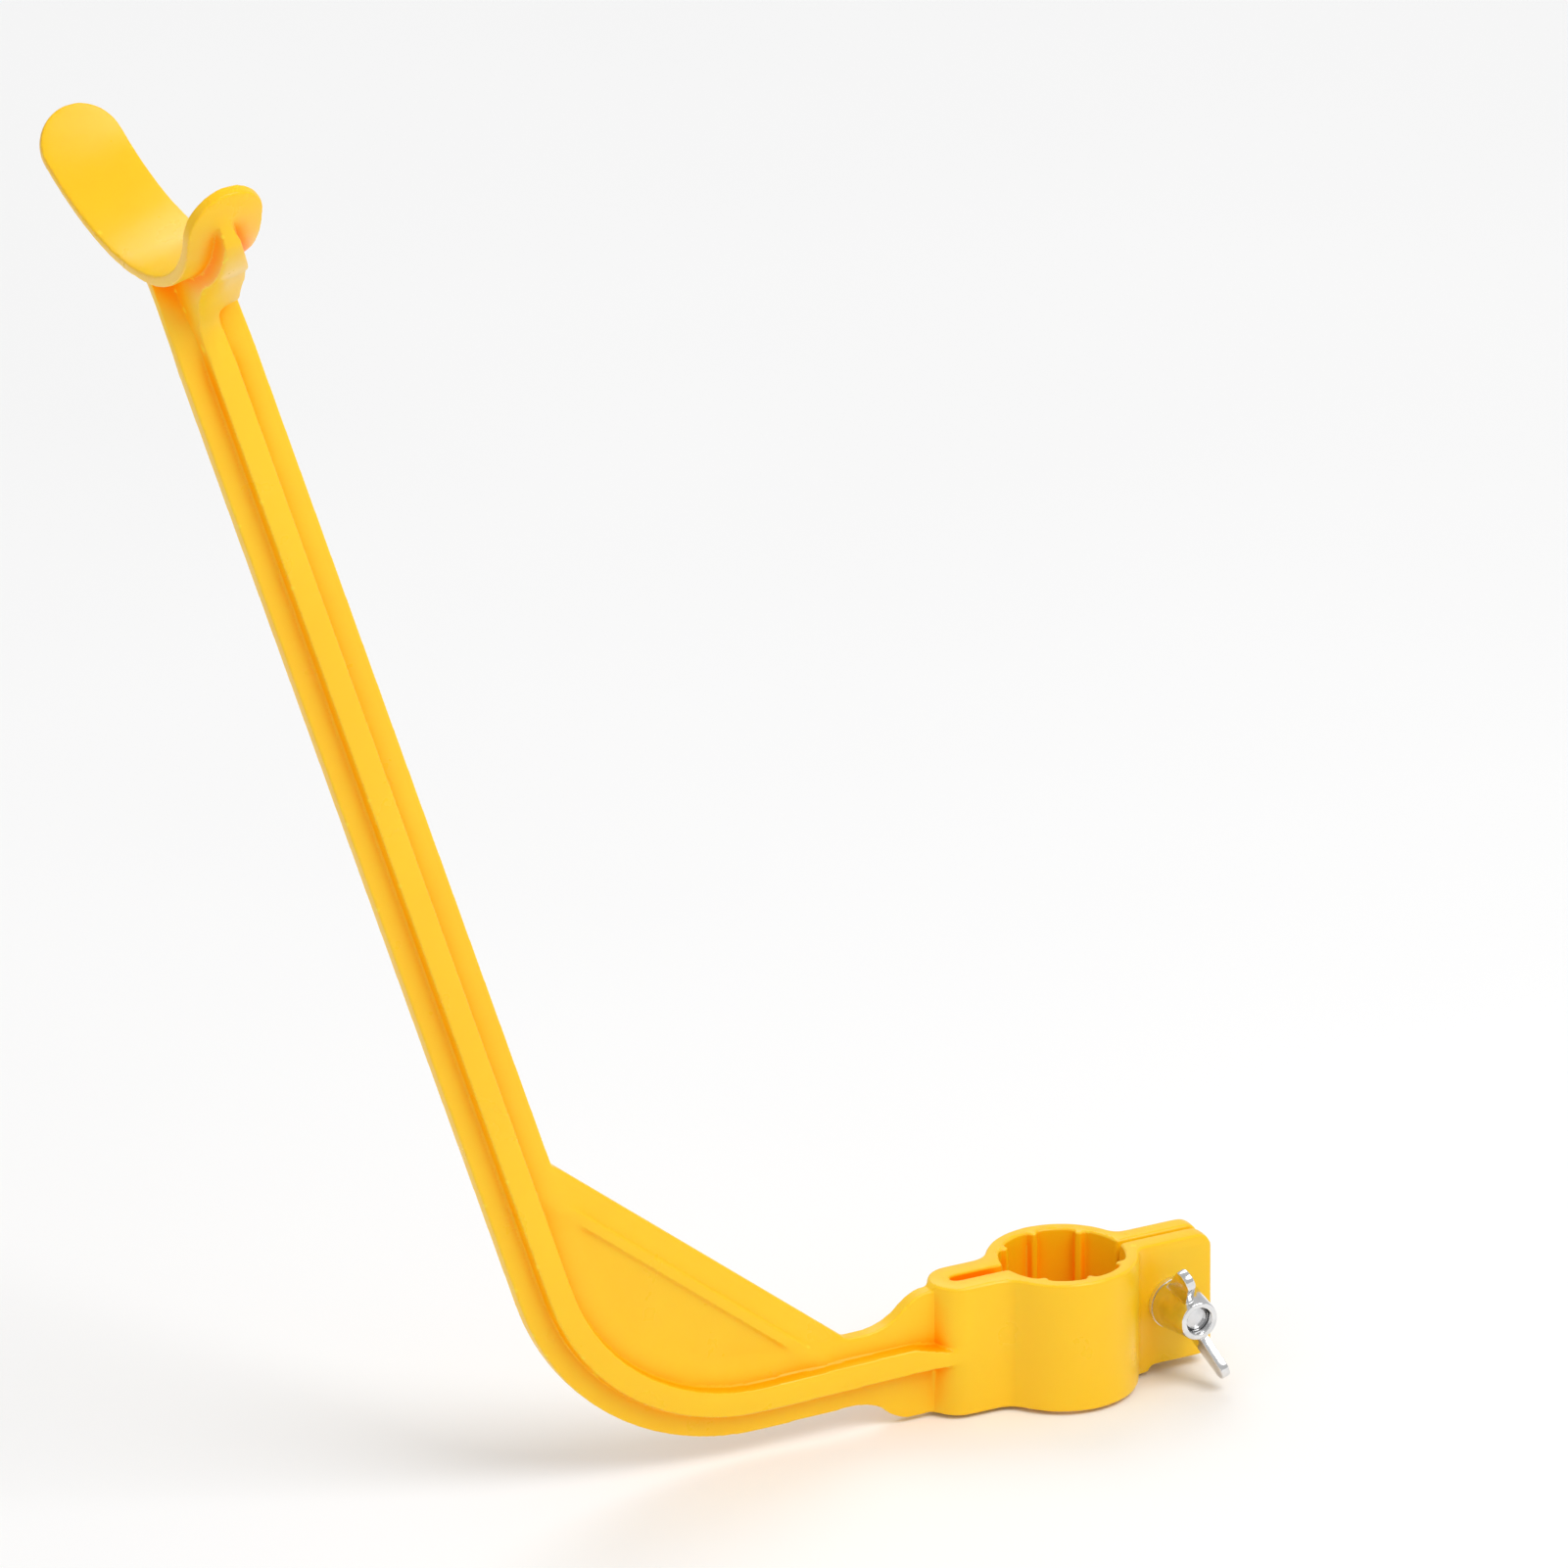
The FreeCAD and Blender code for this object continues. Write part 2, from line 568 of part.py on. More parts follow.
def saddle_sector(name, outer, inner, near_angle, far_angle):
    """Curved strip between two radii, as wide as the saddle."""
    body = new_body(name)
    corners = [
        on_saddle(outer, f"-({near_angle})") + (outer, "left"),
        on_saddle(outer, far_angle),
        on_saddle(inner, far_angle) + (inner, "right"),
        on_saddle(inner, f"-({near_angle})"),
    ]
    pad(body, f"{name}_pad", outline(body, f"{name}_outline", "YZ_Plane", corners), "dims.saddle_width")
    body.Placement = strip_frame()
    return body


def saddle_strip():
    """Curved strip with fully rounded ends."""
    inner = "dims.saddle_radius - dims.saddle_thickness"
    outer = "dims.saddle_radius"
    near = "(dims.near_angle + dims.end_overlap)"
    far = "(dims.far_angle + dims.end_overlap)"
    full = saddle_sector("long_strip", outer, inner, near, far)
    outside = f"{outer} + dims.overrun"
    inside = f"{inner} - dims.overrun"
    middle = saddle_sector("strip_middle", outside, inside, "dims.near_angle", "dims.far_angle")
    keep = [middle]
    for name, angle in (("near_end", -size("dims.near_angle")), ("far_end", size("dims.far_angle"))):
        end = doc.addObject("Part::Cylinder", name)
        end.setExpression("Radius", "dims.saddle_width / 2")
        end.setExpression("Height", "3 * dims.saddle_thickness")
        radius = size(f"{inner} - dims.saddle_thickness")
        spot = FreeCAD.Vector(
            0,
            radius * math.sin(math.radians(angle)),
            size("dims.saddle_radius") - radius * math.cos(math.radians(angle)),
        )
        outward = FreeCAD.Rotation(FreeCAD.Vector(1, 0, 0), 180 + angle)
        end.Placement = strip_frame().multiply(FreeCAD.Placement(spot, outward))
        keep.append(end)
    ends = combine("Part::MultiFuse", "strip_keep", *keep)
    return combine("Part::MultiCommon", "saddle_strip", full, ends)


def neck():
    """Neck that spreads from the arm's ribs into a rib under the saddle, with a collar on one side.

    The shape seen along the strip's width is cut to the shape seen along the strip."""
    spread = new_body("neck_spread")
    root = "dims.saddle_radius - dims.saddle_thickness / 2"
    crest = "dims.saddle_radius + dims.fin_height"
    fade = "(dims.fin_end_angle + dims.fin_fade)"
    foot = "dims.rib_depth / 2"
    corners = [
        on_saddle(crest, "-dims.fin_end_angle") + (crest, "left"),
        on_saddle(crest, "-dims.fin_start_angle") + ("dims.neck_hollow", "right"),
        leaned(f"-{foot}", "-dims.neck_drop"),
        leaned(foot, "-dims.neck_drop") + ("dims.neck_hollow", "right"),
        on_saddle(crest, "dims.fin_start_angle") + (crest, "left"),
        on_saddle(crest, "dims.fin_end_angle"),
        on_saddle(root, fade) + (root, "right"),
        on_saddle(root, f"-{fade}"),
    ]
    sketch = outline(spread, "neck_spread_outline", "YZ_Plane", corners)
    pad(spread, "neck_spread_pad", sketch, "4 * dims.collar_reach")
    spread.Placement = saddle_frame()

    side = new_body("neck_side")
    half_rib = "dims.rib_width / 2"
    low = "1.5 * dims.neck_drop"
    # The arm leans away from the saddle's upright, so the ribs' sides move across with the drop.
    lean = "tan(dims.arm_lean - dims.saddle_tilt)"
    corners = [
        (f"{lean} * {low} - {half_rib}", f"-{low}"),
        (f"{lean} * {low} + {half_rib}", f"-{low}"),
        (f"{lean} * dims.collar_drop + {half_rib}", "-dims.collar_drop"),
        ("dims.collar_reach", "-dims.collar_drop"),
        ("dims.collar_reach", "dims.collar_full"),
        ("dims.collar_waist", "0", "dims.fin_hollow", "right"),
        ("-dims.tip_side", "dims.tip_height"),
        ("-dims.fin_side", "dims.fin_shoulder"),
        ("-dims.fin_side", "0"),
    ]
    sketch = outline(side, "neck_side_outline", "XZ_Plane", corners)
    pad(side, "neck_side_pad", sketch, "3 * dims.saddle_radius")
    side.Placement = saddle_frame()
    return combine("Part::MultiCommon", "neck", spread, side)


def build_moulding():
    """The yellow moulding as its fixed part and its flexing near jaw."""
    frame_body = new_body("arm_and_clamp")
    add_clamp(frame_body)
    add_clamp_blends(frame_body)
    add_web(frame_body)
    add_ribs(frame_body)
    add_rib_nose(frame_body)
    add_gusset(frame_body)
    cut_clamp(frame_body)
    add_ridges(frame_body)

    whole = combine("Part::MultiFuse", "moulding", frame_body, saddle_strip(), neck())
    jaw = combine("Part::MultiCommon", "clamp_jaw", frame_body, jaw_zone("jaw", "dims.hinge_opening", "0"))
    fixed = combine("Part::Cut", "guide_arm", whole, jaw_zone("jaw_room", "0", "dims.hinge_gap"))
    return [fixed, jaw]


def across_bolt(height, turn=0):
    """Placement of a piece drawn upright on its own axis: on the bolt axis, pointing to the near side."""
    place = FreeCAD.Vector(size("dims.bolt_reach"), -height, size("dims.bolt_above"))
    lie_down = FreeCAD.Rotation(FreeCAD.Vector(1, 0, 0), 90)
    spin = FreeCAD.Rotation(FreeCAD.Vector(0, 0, 1), turn)
    return FreeCAD.Placement(place, lie_down.multiply(spin))


def revolve(body, name, corners):
    """Solid of revolution about the body's z axis from an outline of (radius, height) corners."""
    sketch = outline(body, f"{name}_outline", "XZ_Plane", corners)
    feature = body.newObject("PartDesign::Revolution", name)
    feature.Profile = sketch
    feature.ReferenceAxis = (sketch, ["V_Axis"])
    feature.Angle = 360
    doc.recompute()
    return feature


def build_bolt():
    """M5 hexagon-head bolt, drawn with its head's seat at height 0 and its end upwards."""
    body = new_body("clamp_bolt")
    tip = "dims.bolt_tip_chamfer"
    shank = [
        ("0", "-dims.head_height / 2"),
        ("dims.bolt_radius", "-dims.head_height / 2"),
        ("dims.bolt_radius", f"dims.bolt_length - {tip}"),
        (f"dims.bolt_radius - {tip}", "dims.bolt_length"),
        ("0", "dims.bolt_length"),
    ]
    revolve(body, "shank", shank)
    head = hexagon_outline(body, "head_outline", "XY_Plane", "0", "0", "0", "-dims.head_height")
    pad(body, "head", head, "dims.head_height", both_ways=False)
    body.Placement = across_bolt(size("dims.head_recess - dims.ear_half_depth"))
    return body


def build_washer():
    body = new_body("plain_washer")
    hole = "dims.bolt_radius + dims.bolt_clearance"
    ring = [
        (hole, "0"),
        ("dims.washer_radius", "0"),
        ("dims.washer_radius", "dims.washer_height"),
        (hole, "dims.washer_height"),
    ]
    revolve(body, "washer_ring", ring)
    body.Placement = across_bolt(size("dims.ear_half_depth"))
    return body


def build_wing_nut():
    """Wing nut drawn on its bearing face: tapered hub, two wings with round tips, and its bore."""
    body = new_body("wing_nut")
    hub = [
        ("0", "0"),
        ("dims.hub_base_radius", "0"),
        ("dims.hub_top_radius", "dims.hub_height"),
        ("0", "dims.hub_height"),
    ]
    revolve(body, "hub", hub)
    radius = "dims.wing_tip_radius"

    def on_tip(side, direction):
        """Place on a wing's round end, seen from the end's centre in this direction."""
        across = f"{side} * (dims.wing_span / 2 - {radius} + {radius} * cos({direction}))"
        return across, f"dims.wing_rise - {radius} + {radius} * sin({direction})"

    for side, name in ((1, "wing_a"), (-1, "wing_b")):
        turn = "left" if side > 0 else "right"
        corners = [
            ("0", "dims.wing_foot"),
            (f"{side} * dims.hub_base_radius", "dims.wing_foot"),
            on_tip(side, "dims.wing_tip_start") + (radius, turn),
            on_tip(side, "dims.wing_tip_end"),
            (f"{side} * dims.hub_top_radius", "dims.hub_height - dims.wing_root"),
            ("0", "dims.hub_height - dims.wing_root"),
        ]
        wing = outline(body, f"{name}_outline", "XZ_Plane", corners)
        pad(body, name, wing, "dims.wing_thickness")
    bore_radius = "dims.bolt_radius + dims.bolt_clearance"
    hole = round_outline(body, "nut_bore_outline", "XY_Plane", "0", "0", bore_radius)
    pocket(body, "nut_bore", hole, "4 * dims.hub_height")
    turned = 90 + size("dims.wing_turn")
    body.Placement = across_bolt(size("dims.ear_half_depth + dims.washer_height"), turned)
    return body


def check(pieces):
    """Stops the script on any failed object or any piece that is not one valid solid."""
    for item in doc.Objects:
        if "Invalid" in item.State or "Error" in item.State:
            raise RuntimeError(f"{item.Name} is {item.State}")
    for piece in pieces:
        shape = piece.Shape
        if shape.isNull() or not shape.isValid() or len(shape.Solids) != 1:
            raise RuntimeError(f"{piece.Label}: {len(shape.Solids)} solids, valid {shape.isValid()}")


nodes = build_moulding() + [build_bolt(), build_washer(), build_wing_nut()]
doc.recompute()
check(nodes)
os.makedirs("parts", exist_ok=True)
for node in nodes:
    node.Shape.exportStep(f"parts/{node.Label}.step")
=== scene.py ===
import json
import math

import bmesh
import bpy
import numpy as np
from mathutils import Matrix, Vector


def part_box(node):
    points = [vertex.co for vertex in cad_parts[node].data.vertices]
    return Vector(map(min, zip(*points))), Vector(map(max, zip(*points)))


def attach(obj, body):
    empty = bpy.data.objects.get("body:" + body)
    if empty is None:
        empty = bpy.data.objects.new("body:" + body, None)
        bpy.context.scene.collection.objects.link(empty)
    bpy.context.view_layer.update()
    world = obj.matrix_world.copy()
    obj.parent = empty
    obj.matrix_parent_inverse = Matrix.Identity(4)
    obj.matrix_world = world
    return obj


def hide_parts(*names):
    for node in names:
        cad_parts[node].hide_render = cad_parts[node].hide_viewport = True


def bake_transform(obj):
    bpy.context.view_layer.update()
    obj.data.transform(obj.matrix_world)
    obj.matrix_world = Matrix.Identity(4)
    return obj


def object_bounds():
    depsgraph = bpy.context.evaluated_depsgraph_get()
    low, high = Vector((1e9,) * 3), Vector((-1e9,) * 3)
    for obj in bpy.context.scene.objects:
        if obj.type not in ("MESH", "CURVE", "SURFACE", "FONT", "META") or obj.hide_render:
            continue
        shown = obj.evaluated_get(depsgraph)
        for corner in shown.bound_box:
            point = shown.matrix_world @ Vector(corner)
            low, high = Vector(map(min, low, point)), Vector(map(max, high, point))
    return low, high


# Looks of the golf swing guide: a glossy yellow moulding, a plated bolt, its washer and a wing nut.
# Metres, in the CAD's own frame: origin on the clamp bore's axis, +Z towards the saddle, wing nut on -Y.

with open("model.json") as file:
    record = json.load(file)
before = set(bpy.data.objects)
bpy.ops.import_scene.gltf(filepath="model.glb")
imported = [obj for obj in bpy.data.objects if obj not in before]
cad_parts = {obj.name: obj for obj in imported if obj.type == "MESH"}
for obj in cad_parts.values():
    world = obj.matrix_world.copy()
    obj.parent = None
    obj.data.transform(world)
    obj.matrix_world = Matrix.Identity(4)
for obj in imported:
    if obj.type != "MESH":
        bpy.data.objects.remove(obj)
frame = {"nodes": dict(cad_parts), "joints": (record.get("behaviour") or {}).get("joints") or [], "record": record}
cad_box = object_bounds()

MM = 0.001

# Sizes read from the frame.
JAW_LOW, JAW_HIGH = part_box("clamp_jaw")
BOLT_LOW, BOLT_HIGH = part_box("clamp_bolt")
GRIP_BORE = next(m for m in frame["record"]["mounts"] if m["name"] == "grip_bore")
JAW_JOINT = next(j for j in frame["joints"] if j["name"] == "jaw_open")
HINGE = Vector(JAW_JOINT["pos_m"])
BORE_RADIUS = GRIP_BORE["dims"]["r_mm"] * MM
RING_RADIUS = 2 * HINGE.xy.length - BORE_RADIUS
BOLT_X = (BOLT_LOW.x + BOLT_HIGH.x) / 2
BOLT_Z = (BOLT_LOW.z + BOLT_HIGH.z) / 2

# Centre of the arm's bend, and how far from it the bend's inner edge is: the gusset lies inside that.
BEND_CENTRE = (-64.5 * MM, 42.4 * MM)
BEND_INSIDE = 35.5 * MM

# Where the arm's middle line meets the saddle, and a ball round the neck just below it.
SADDLE_FOOT = Vector((-181.6 * MM, 0, 248.1 * MM))
NECK_MIDDLE = SADDLE_FOOT + Vector((2 * MM, 0, -8 * MM))
NECK_REACH = 15 * MM

# Where the clamp's tighter corners and its rounded rims take over from the arm.
TIGHT_CORNERS_X = -34 * MM
RIMS_X = -30 * MM
RIM_REACH = 1.6 * MM

# The moulded skin: grid size, rounds of smoothing in each region, and the share of faces kept.
VOXEL = 0.3 * MM
SOFT_ROUNDS = 9
VALLEY_ROUNDS = 30
RIM_ROUNDS = 26
SADDLE_ROUNDS = 10
NECK_ROUNDS = 60
FACES_KEPT = 0.4

# Corners count as hollow from this much outward movement a round.
VALLEY_STEP = 0.004 * VOXEL

# Shading is evened out between neighbours whose normals differ by less than this angle.
EDGE_COSINE = math.cos(math.radians(10))
NORMAL_ROUNDS = 60

# The skin is cut here, behind the hinge, and the seam beside the root slot is closed along this stretch of the
# ring's wall.
CUT_X = HINGE.x - 2.6 * MM
PLUG_HALF_WIDTH = 2.3 * MM


# ---------------------------------------------------------------- meshes

def new_object(name, mesh):
    obj = bpy.data.objects.new(name, mesh)
    bpy.context.scene.collection.objects.link(obj)
    return obj


def apply_modifiers(obj):
    """Bakes the object's modifiers into its mesh."""
    graph = bpy.context.evaluated_depsgraph_get()
    graph.update()
    baked = bpy.data.meshes.new_from_object(obj.evaluated_get(graph))
    old = obj.data
    obj.modifiers.clear()
    obj.data = baked
    bpy.data.meshes.remove(old)


def wall_patch(mesh, from_angle, to_angle, inner, outer, low, high, steps=8):
    """Adds a closed stretch of ring wall to a bmesh, between two angles round the z axis."""
    rows = []
    for step in range(steps + 1):
        angle = from_angle + (to_angle - from_angle) * step / steps
        across, up = math.cos(angle), math.sin(angle)
        corners = ((inner, low), (outer, low), (outer, high), (inner, high))
        rows.append([mesh.verts.new((r * across, r * up, z)) for r, z in corners])
    for first, second in zip(rows, rows[1:]):
        for k in range(4):
            n = (k + 1) % 4
            mesh.faces.new((first[k], second[k], second[n], first[n]))
    mesh.faces.new(rows[0])
    mesh.faces.new(rows[-1][::-1])


def joined_copy(name, nodes, extra=None):
    """One new mesh holding copies of CAD nodes and anything the extra function adds."""
    mesh = bmesh.new()
    for node in nodes:
        mesh.from_mesh(frame["nodes"][node].data)
    if extra:
        extra(mesh)
    bmesh.ops.recalc_face_normals(mesh, faces=mesh.faces)
    data = bpy.data.meshes.new(name)
    mesh.to_mesh(data)
    mesh.free()
    return new_object(name, data)


def voxel_remesh(obj, voxel):
    remesh = obj.modifiers.new("skin", "REMESH")
    remesh.mode = "VOXEL"
    remesh.voxel_size = voxel
    remesh.use_smooth_shade = True
    apply_modifiers(obj)


def soften(obj, rounds, valleys_only=False, reach=None):
    """Moves each vertex towards its neighbours' mean, everywhere or only where that fills a hollow corner.

    reach gives each vertex's share of the move from its position."""
    mesh = obj.data
    count = len(mesh.vertices)
    points = np.empty(count * 3)
    mesh.vertices.foreach_get("co", points)
    points = points.reshape(-1, 3)
    pairs = np.empty(len(mesh.edges) * 2, int)
    mesh.edges.foreach_get("vertices", pairs)
    first, second = pairs.reshape(-1, 2).T
    degree = np.bincount(first, minlength=count) + np.bincount(second, minlength=count)
    degree = np.maximum(degree, 1)[:, None]
    share = 0.5 if reach is None else 0.5 * reach(points)[:, None]
    normals = np.empty(count * 3)
    for turn in range(rounds):
        if valleys_only and turn % 5 == 0:
            mesh.vertices.foreach_set("co", points.ravel())
            mesh.update()
            mesh.vertices.foreach_get("normal", normals)
        total = np.empty((count, 3))
        for axis in range(3):
            total[:, axis] = np.bincount(first, points[second, axis], count)
            total[:, axis] += np.bincount(second, points[first, axis], count)
        step = total / degree - points
        if valleys_only:
            outward = (step * normals.reshape(-1, 3)).sum(1)
            step *= np.clip(outward / VALLEY_STEP, 0, 1)[:, None]
        points += share * step
    mesh.vertices.foreach_set("co", points.ravel())
    mesh.update()


def even_normals(mesh, rounds):
    """Vertex normals with the CAD curves' flat facets evened out. Edges and corners keep their own."""
    count = len(mesh.vertices)
    normals = np.empty(count * 3)
    mesh.vertices.foreach_get("normal", normals)
    normals = normals.reshape(-1, 3)
    pairs = np.empty(len(mesh.edges) * 2, int)
    mesh.edges.foreach_get("vertices", pairs)
    first, second = pairs.reshape(-1, 2).T
    for _ in range(rounds):
        agreement = (normals[first] * normals[second]).sum(1)
        share = np.clip((agreement - EDGE_COSINE) / (1 - EDGE_COSINE) * 2, 0, 1)
        total = normals.copy()
        for axis in range(3):
            total[:, axis] += np.bincount(first, share * normals[second, axis], count)
            total[:, axis] += np.bincount(second, share * normals[first, axis], count)
        normals = total / np.linalg.norm(total, axis=1)[:, None]
    return normals


def thin_out(obj, share):
    """Fewer faces, with the shape kept."""
    fewer = obj.modifiers.new("thin", "DECIMATE")
    fewer.ratio = share
    apply_modifiers(obj)


def shade_smooth(obj):
    obj.data.polygons.foreach_set("use_smooth", [True] * len(obj.data.polygons))
    obj.data.update()


def finish_piece(obj, material):
    obj.data.materials.clear()
    obj.data.materials.append(material)
    return obj


# ---------------------------------------------------------------- the moulding

def hinge_plug(mesh):
    """Closes the seam beside the root slot, so that the ring's skin is whole there."""
    middle = math.atan2(HINGE.y, HINGE.x)
    spread = PLUG_HALF_WIDTH / RING_RADIUS
    wall_patch(mesh, middle - spread, middle + spread, BORE_RADIUS, RING_RADIUS, JAW_LOW.z, JAW_HIGH.z)


def corner_reach(points):
    """Full rounding on the arm, less in the clamp and beside the gusset's bead, whose corners are tighter."""
    past_arm = np.clip((points[:, 0] - TIGHT_CORNERS_X) / (10 * MM), 0, 1)
    from_bend = np.hypot(points[:, 0] - BEND_CENTRE[0], points[:, 2] - BEND_CENTRE[1])
    off_gusset = np.clip((from_bend - BEND_INSIDE) / (1 * MM), 0.15, 1)
    return (1 - 0.75 * past_arm) * off_gusset


def rim_reach(points):
    """Only near the clamp's end faces, whose rims are generously rounded."""
    on_clamp = np.clip((points[:, 0] - RIMS_X) / (4 * MM), 0, 1)
    to_face = np.minimum(abs(points[:, 2] - JAW_HIGH.z), abs(points[:, 2] - JAW_LOW.z))
    return on_clamp * np.clip(1.5 - to_face / RIM_REACH, 0, 1)


def saddle_reach(points):
    """The saddle and its neck, whose edges are softer than the arm's."""
    return np.clip((points[:, 2] - SADDLE_FOOT.z) / (8 * MM) + 1.5, 0, 1)


def neck_reach(points):
    """Only the neck below the saddle strip, which runs softly into the rib."""
    away = np.linalg.norm(points - np.array(NECK_MIDDLE), axis=1)
    return np.clip(1.5 - 1.5 * away / NECK_REACH, 0, 1)


def split_jaw(whole):
    """Splits the near jaw, with a little of the root block, from the rest. Both keep the whole's normals."""
    mesh = bmesh.new()
    mesh.from_mesh(whole.data)
    near = [v for v in mesh.verts if v.co.y < 0 and abs(v.co.x - CUT_X) < 2 * MM]
    faces = {f for v in near for f in v.link_faces}
    edges = {e for f in faces for e in f.edges}
    bmesh.ops.bisect_plane(
        mesh,
        geom=list(near) + list(edges) + list(faces),
        plane_co=(CUT_X, 0, 0),
        plane_no=(1, 0, 0),
        dist=1e-7,
    )
    mesh.to_mesh(whole.data)
    mesh.free()
    whole.data.update()
    shade_smooth(whole)
    evened = even_normals(whole.data, NORMAL_ROUNDS)
    normals = {tuple(v.co): evened[v.index] for v in whole.data.vertices}
    pieces = []
    for name, keep_jaw in (("moulding_arm", False), ("moulding_jaw", True)):
        part = bmesh.new()
        part.from_mesh(whole.data)
        away = []
        for face in part.faces:
            middle = face.calc_center_median()
            in_jaw = middle.x > CUT_X and middle.y < 0
            if in_jaw != keep_jaw:
                away.append(face)
        bmesh.ops.delete(part, geom=away, context="FACES")
        data = bpy.data.meshes.new(name)
        part.to_mesh(data)
        part.free()
        piece = new_object(name, data)
        shade_smooth(piece)
        data.normals_split_custom_set_from_vertices([normals[tuple(v.co)] for v in data.vertices])
        pieces.append(piece)
    bpy.data.objects.remove(whole)
    return pieces


def build_moulding(material):
    whole = joined_copy("moulding", ["guide_arm", "clamp_jaw"], hinge_plug)
    voxel_remesh(whole, VOXEL)
    soften(whole, SOFT_ROUNDS)
    soften(whole, VALLEY_ROUNDS, valleys_only=True, reach=corner_reach)
    soften(whole, RIM_ROUNDS, reach=rim_reach)
    soften(whole, SADDLE_ROUNDS, reach=saddle_reach)
    soften(whole, NECK_ROUNDS, reach=neck_reach)
    soften(whole, 1)
    thin_out(whole, FACES_KEPT)
    shade_smooth(whole)
    arm, jaw = split_jaw(whole)
    finish_piece(arm, material)
    finish_piece(jaw, material)
    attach(arm, "guide_arm")
    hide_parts("guide_arm")
    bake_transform(jaw)
    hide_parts("clamp_jaw")


# ---------------------------------------------------------------- bolt, washer and wing nut

BOLT_RADIUS = 2.5 * MM
THREAD_PITCH = 0.8 * MM
THREAD_DEPTH = 0.42 * MM
HEAD_HEIGHT = 3.5 * MM
HEAD_CHAMFER = 0.5 * MM
CORNER_DROP = 0.35 * MM
BOLT_EDGES = 0.12 * MM
WASHER_EDGES = 0.18 * MM
NUT_VOXEL = 0.15 * MM


def lay_on_bolt_axis(obj, height):
    """Turns a mesh drawn upright on its own axis to point to -Y from this distance off the middle plane."""
    place = Matrix.Translation((BOLT_X, -height, BOLT_Z)) @ Matrix.Rotation(math.pi / 2, 4, "X")
    obj.data.transform(place)


def threaded_rod(mesh, low, high, radius, pitch, depth, around=32, per_turn=8):
    """Screw thread as one wrapped skin, fading to the core at both ends, with flat closed ends."""
    rows = int((high - low) / pitch * per_turn)
    rings = []
    for row in range(rows + 1):
        height = low + (high - low) * row / rows
        fade = min(1, (high - height) / (0.9 * pitch))
        ring = []
        for k in range(around):
            turn = k / around
            phase = (height / pitch - turn) % 1
            groove = 1 - abs(2 * phase - 1)
            crest = radius - depth * min(1, max(0, 1.35 * groove - 0.2))
            size = crest * fade + (radius - 1.1 * depth) * (1 - fade)
            angle = 2 * math.pi * turn
            ring.append(mesh.verts.new((size * math.cos(angle), size * math.sin(angle), height)))
        rings.append(ring)
    for lower, upper in zip(rings, rings[1:]):
        for k in range(around):
            n = (k + 1) % around
            mesh.faces.new((lower[k], lower[n], upper[n], upper[k]))
    mesh.faces.new(rings[0][::-1])
    mesh.faces.new(rings[-1])


def hexagon_head(mesh, low, high, flats):
    """Hexagon head whose free face is a disc, with the chamfer cutting deeper at the hexagon's corners."""
    half_flats = flats / 2
    corner = half_flats / math.cos(math.pi / 6)
    around = 48
    rings = [[], [], []]
    for k in range(around):
        angle = 2 * math.pi * k / around
        across, up = math.cos(angle), math.sin(angle)
        off_flat = (angle + math.pi / 6) % (math.pi / 3) - math.pi / 6
        hexagon = half_flats / math.cos(off_flat)
        disc = 0.95 * half_flats
        drop = CORNER_DROP * (hexagon - half_flats) / (corner - half_flats)
        levels = ((hexagon, high), (hexagon, low + HEAD_CHAMFER + drop), (disc, low))
        for ring, (radius, height) in zip(rings, levels):
            ring.append(mesh.verts.new((radius * across, radius * up, height)))
    for lower, upper in zip(rings, rings[1:]):
        for k in range(around):
            n = (k + 1) % around
            mesh.faces.new((lower[k], upper[k], upper[n], lower[n]))
    mesh.faces.new(rings[0])
    mesh.faces.new(rings[-1][::-1])


def build_bolt(material):
    """Hexagon-head bolt, drawn from its head upwards along the bolt axis."""
    head_seat = BOLT_HIGH.y - HEAD_HEIGHT
    length = head_seat - BOLT_LOW.y
    flats = BOLT_HIGH.x - BOLT_LOW.x
    mesh = bmesh.new()
    hexagon_head(mesh, -HEAD_HEIGHT, 0, flats)
    threaded_rod(mesh, -0.5 * MM, length, BOLT_RADIUS, THREAD_PITCH, THREAD_DEPTH)
    bmesh.ops.recalc_face_normals(mesh, faces=mesh.faces)
    data = bpy.data.meshes.new("clamp_bolt_threaded")
    mesh.to_mesh(data)
    mesh.free()
    bolt = new_object("clamp_bolt_threaded", data)
    lay_on_bolt_axis(bolt, -head_seat)
    edges = bolt.modifiers.new("edges", "BEVEL")
    edges.width = BOLT_EDGES
    edges.segments = 2
    edges.angle_limit = math.radians(50)
    apply_modifiers(bolt)
    shade_smooth(bolt)
    bolt.data.set_sharp_from_angle(angle=math.radians(40))
    finish_piece(bolt, material)
    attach(bolt, "guide_arm")
    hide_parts("clamp_bolt")


def build_washer(material):
    """The CAD washer stays, with its punched edges rounded."""
    washer = frame["nodes"]["plain_washer"]
    washer.data.materials.clear()
    washer.data.materials.append(material)
    edges = washer.modifiers.new("edges", "BEVEL")
    edges.width = WASHER_EDGES
    edges.segments = 3
    edges.angle_limit = math.radians(40)
    edges.harden_normals = True


def build_wing_nut(material):
    """Cast wing nut: the CAD nut's hub and wings with soft cast edges and hollow corners."""
    nut = joined_copy("wing_nut_cast", ["wing_nut"])
    voxel_remesh(nut, NUT_VOXEL)
    soften(nut, 16)
    soften(nut, 50, valleys_only=True)
    soften(nut, 8)
    shade_smooth(nut)
    nut.data.normals_split_custom_set_from_vertices(even_normals(nut.data, NORMAL_ROUNDS))
    finish_piece(nut, material)
    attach(nut, "wing_nut")
    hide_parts("wing_nut")


# ---------------------------------------------------------------- materials

